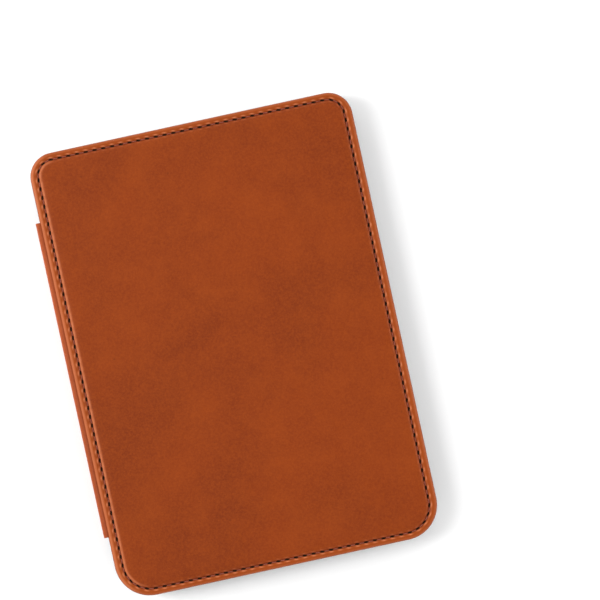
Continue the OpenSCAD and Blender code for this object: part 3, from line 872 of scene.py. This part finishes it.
def copper_film(name):
    """Amber film with parallel copper tracks."""
    p = Paint(name)
    wave = p.node("ShaderNodeTexWave", wave_type="BANDS", bands_direction="X")
    wave.inputs["Scale"].default_value = 400
    p.feed(wave.inputs["Vector"], p.place)
    tone = p.mix(wave.outputs["Fac"], (0.26, 0.10, 0.02), (0.5, 0.24, 0.05))
    tone = p.mix(p.math("MULTIPLY", p.noise(500), 0.3), tone, (0.35, 0.15, 0.03))
    normal = p.bump(wave.outputs["Fac"], 0.005)
    return p.set(Base_Color=tone, Roughness=0.35, Metallic=0.3, Normal=normal).material


def paper_display(name):
    """Electronic paper: an even, faintly grained pale grey."""
    p = Paint(name)
    grain = p.noise(9000, 2.0, 0.7)
    tone = p.mix(p.ramp(grain, 0.3, 0.7), (0.46, 0.46, 0.43), (0.51, 0.51, 0.48))
    tone = p.mix(p.math("MULTIPLY", p.noise(20, 2.0), 0.15), tone, (0.54, 0.54, 0.52))
    return p.set(Base_Color=tone, Roughness=0.6, Normal=p.bump(grain, 0.002)).material


def clear(name, colour, alpha, roughness):
    """A clear sheet or light pipe, with faint flow marks in its gloss."""
    p = Paint(name)
    flow = p.noise(90, 3.0)
    tone = p.mix(p.ramp(flow, 0.3, 0.7), colour, shade(colour, 1.1))
    rough = p.ramp(flow, 0.3, 0.7, roughness - 0.02, roughness + 0.03)
    p.set(Base_Color=tone, Roughness=rough, Alpha=alpha, Specular_IOR_Level=1.0)
    return p.material


# ------------------------------------------------------------------ stage, lights and camera


def set_up_stage():
    """A white floor, and surroundings that are white at the sides and dim overhead."""
    scene = bpy.context.scene
    scene.view_settings.view_transform = "Standard"
    scene.view_settings.look = "None"
    world = bpy.data.worlds.new("studio")
    scene.world = world
    world.use_nodes = True
    tree = world.node_tree
    direction = tree.nodes.new("ShaderNodeTexCoord")
    split = tree.nodes.new("ShaderNodeSeparateXYZ")
    tree.links.new(direction.outputs["Generated"], split.inputs[0])
    tone = tree.nodes.new("ShaderNodeValToRGB")
    tone.color_ramp.elements[0].position, tone.color_ramp.elements[0].color = 0.0, (1.0, 1.0, 1.0, 1)
    tone.color_ramp.elements[1].position, tone.color_ramp.elements[1].color = 0.8, (0.45, 0.45, 0.45, 1)
    overhead = tone.color_ramp.elements.new(0.96)
    overhead.color = (0.08, 0.08, 0.08, 1)
    tree.links.new(split.outputs["Z"], tone.inputs[0])
    background = tree.nodes["Background"]
    tree.links.new(tone.outputs[0], background.inputs["Color"])
    background.inputs["Strength"].default_value = 1.5

    mesh = bpy.data.meshes.new("floor")
    reach, below = 14.0, -0.0005
    corners = [(-reach, -reach, below), (reach, -reach, below), (reach, reach, below), (-reach, reach, below)]
    mesh.from_pydata(corners, [], [(0, 1, 2, 3)])
    floor = bpy.data.objects.new("floor", mesh)
    scene.collection.objects.link(floor)
    p = Paint("floor_white")
    tone = p.mix(p.noise(3, 2.0), (0.95, 0.95, 0.95), (0.97, 0.97, 0.97))
    mesh.materials.append(p.set(Base_Color=tone, Roughness=0.8, Specular_IOR_Level=0.1).material)


def add_softbox(name, place, size, power):
    """A rectangular lamp that faces the origin, in metres and watts."""
    data = bpy.data.lights.new(name, "AREA")
    data.shape = "RECTANGLE"
    data.size, data.size_y = size
    data.energy = power
    lamp = bpy.data.objects.new(name, data)
    bpy.context.scene.collection.objects.link(lamp)
    lamp.location = place
    lamp.rotation_euler = (-Vector(place)).to_track_quat("-Z", "Y").to_euler()


def add_camera():
    """Straight down, turned so that the case leans to the left, and set off centre."""
    data = bpy.data.cameras.new("camera")
    camera = bpy.data.objects.new("camera", data)
    bpy.context.scene.collection.objects.link(camera)
    lean = math.radians(12.3)
    picture_width = 235.8 * MM
    aim_right, aim_up = 25.66 * MM, 17.76 * MM
    data.lens, data.sensor_width = 150.0, 36.0
    distance = data.lens * picture_width / data.sensor_width
    right = Vector((math.cos(lean), -math.sin(lean), 0))
    up = Vector((math.sin(lean), math.cos(lean), 0))
    aim = right * aim_right + up * aim_up
    camera.location = aim + Vector((0, 0, distance + BORDER_Z * MM))
    camera.rotation_euler = (0, 0, -lean)
    data.clip_start, data.clip_end = 0.01, 50
    bpy.context.scene.camera = camera


set_up_stage()
add_softbox("softbox_left", (-0.95, 0.25, 0.68), (0.5, 1.5), 15)
add_softbox("softbox_right", (1.1, -0.1, 0.48), (0.5, 1.6), 8)
add_softbox("softbox_top", (0.1, 1.1, 0.9), (1.6, 0.6), 4)
add_camera()


# ------------------------------------------------------------------ the pieces

brown = leather("brown_leather")
brown_back = leather(
    "brown_leather_back", (0.196, 0.0275, 0.0052), (0.164, 0.0215, 0.0042), (0.258, 0.044, 0.0085)
)
# A lighter copy of the leather for the spine's bent strip: painted light, for the light that falls on the
# strip's side.
brown_bent_painted_lighter = leather(
    "brown_leather_bent_painted_lighter", (0.300, 0.052, 0.0145), (0.250, 0.040, 0.0110), (0.38, 0.082, 0.022)
)
thread = thread_paint("seam_thread", THREAD)
# Painted shade: the inner seam's copy of the thread is darker.
inner_thread_painted_darker = thread_paint("inner_seam_thread", INNER_THREAD_PAINTED_DARKER)
grey_lining = microfibre("lining_microfibre", (0.055, 0.045, 0.040))

front = make_front_cover()
front.data.materials.append(brown)
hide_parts("cover_leather")
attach(front, "cover")

seam_floor = BORDER_Z - SEAM_DIP - GROOVE_DEPTH
THREAD_R = 0.22
front_seam = make_stitches(
    "front_seam_thread", seam_z=seam_floor + 0.16, dive=-0.66, lift=0.05, radius=THREAD_R, slant=0.08
)
front_seam.data.materials.append(thread)
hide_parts("cover_stitching")
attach(front_seam, "cover")

inside = make_cover_lining()
inside.data.materials.append(grey_lining)
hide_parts("cover_lining")
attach(inside, "cover")

inner_seam = make_stitches(
    "inner_seam_thread", seam_z=lining_low.z + 0.1, dive=0.3, lift=-0.02, radius=THREAD_R, slant=-0.07
)
inner_seam.data.materials.append(inner_thread_painted_darker)
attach(inner_seam, "cover")


back = make_back_leather()
back.data.materials.append(brown_back)
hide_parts("back_leather")
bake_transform(back)

spine_top = make_spine_top()
# The spine's strip takes the copy of the leather painted lighter: painted light.
spine_top.data.materials.append(brown_bent_painted_lighter)
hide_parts("spine_leather", "hinge_tab")
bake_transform(spine_top)

lining_lower = make_spine_lining("spine_lining_lower", LOWER_LINING)
lining_upper = make_spine_lining("spine_lining_upper", UPPER_LINING)
lining_lower.data.materials.append(grey_lining)
lining_upper.data.materials.append(grey_lining)
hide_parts("spine_lining")
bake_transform(lining_lower)
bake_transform(lining_upper)


tray_pad = make_tray_pad()
tray_pad.data.materials.append(grey_lining)
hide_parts("tray_pad")
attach(tray_pad, "case")


# ------------------------------------------------------------------ materials of the CAD nodes

frame_black = plastic("tray_black", (0.0085, 0.0090, 0.0110), 0.42, specular=0.3)
reader_black = plastic("reader_black", (0.009, 0.009, 0.010), 0.5, 3200, 0.006, 0.3)
button_black = plastic("button_black", (0.016, 0.016, 0.018), 0.4, 3200, 0.006)
rubber_black = plastic("seal_black", (0.01, 0.01, 0.01), 0.7)
film_black = plastic("bezel_black", (0.004, 0.004, 0.0045), 0.5, 3200, 0.002, 0.1)
chip_black = plastic("chip_black", (0.015, 0.015, 0.016), 0.55)
cream = plastic("connector_cream", (0.6, 0.56, 0.44), 0.5)
tape = plastic("tape_cream", (0.7, 0.66, 0.55), 0.6)
red_lead = plastic("lead_red", (0.3, 0.01, 0.008), 0.45)
fibre_board = plastic("fibre_board", (0.28, 0.22, 0.15), 0.85, 900, 0.05)
led_yellow = plastic("led_phosphor", (0.8, 0.62, 0.2), 0.3)
steel = metal("steel", (0.62, 0.62, 0.64), 0.28)
blasted = metal("blasted_plate", (0.52, 0.53, 0.55), 0.5, brushed=False)
nickel = metal("nickel", (0.6, 0.6, 0.61), 0.2)
pouch = metal("pouch_foil", (0.6, 0.61, 0.63), 0.35, brushed=False)
green_board = circuit_board("solder_mask")
amber_film = copper_film("flexible_circuit")
e_paper = paper_display("electronic_paper")
window_clear = clear("window_clear", (0.02, 0.02, 0.022), 0.05, 0.25)
guide_frosted = paper_display("guide_frosted")
touch_clear = clear("touch_clear", (0.7, 0.72, 0.72), 0.02, 0.15)
pipe_clear = clear("pipe_clear", (0.9, 0.93, 0.95), 0.55, 0.15)

NODE_PAINT = {
    frame_black: ["case_tray"],
    fibre_board: ["cover_board"],
    nickel: ["cover_magnets", "wake_magnet", "reader_magnets"],
    reader_black: ["rear_housing"],
    window_clear: ["front_window"],
    rubber_black: ["window_gasket", "usb_seal"],
    film_black: ["bezel_film"],
    touch_clear: ["touch_panel"],
    guide_frosted: ["light_guide"],
    amber_film: ["light_strip", "display_ribbon", "antenna"],
    led_yellow: ["light_leds", "status_led"],
    e_paper: ["display_panel"],
    cream: ["display_connector", "battery_socket", "switch_plunger"],
    blasted: ["chassis_plate"],
    steel: [
        "chassis_screws",
        "board_screws",
        "processor_shield",
        "wireless_shield",
        "usb_shell",
        "power_switch",
    ],
    green_board: ["main_board", "battery_circuit"],
    chip_black: ["processor", "memory_chip", "board_chips", "hall_sensor", "usb_tongue"],
    pouch: ["battery"],
    tape: ["battery_tape"],
    red_lead: ["battery_lead"],
    button_black: ["power_button"],
    pipe_clear: ["status_light_pipe"],
}
for paint, nodes in NODE_PAINT.items():
    for node in nodes:
        mesh = frame["nodes"][node].data
        mesh.materials.clear()
        mesh.materials.append(paint)

# These two sheets touch their neighbours face to face. A hair's gap keeps such faces from flickering.
for node in ("light_guide", "touch_panel"):
    gap = frame["nodes"][node].modifiers.new("optical_gap", "DISPLACE")
    gap.mid_level = 0.0
    gap.strength = -0.01 * MM
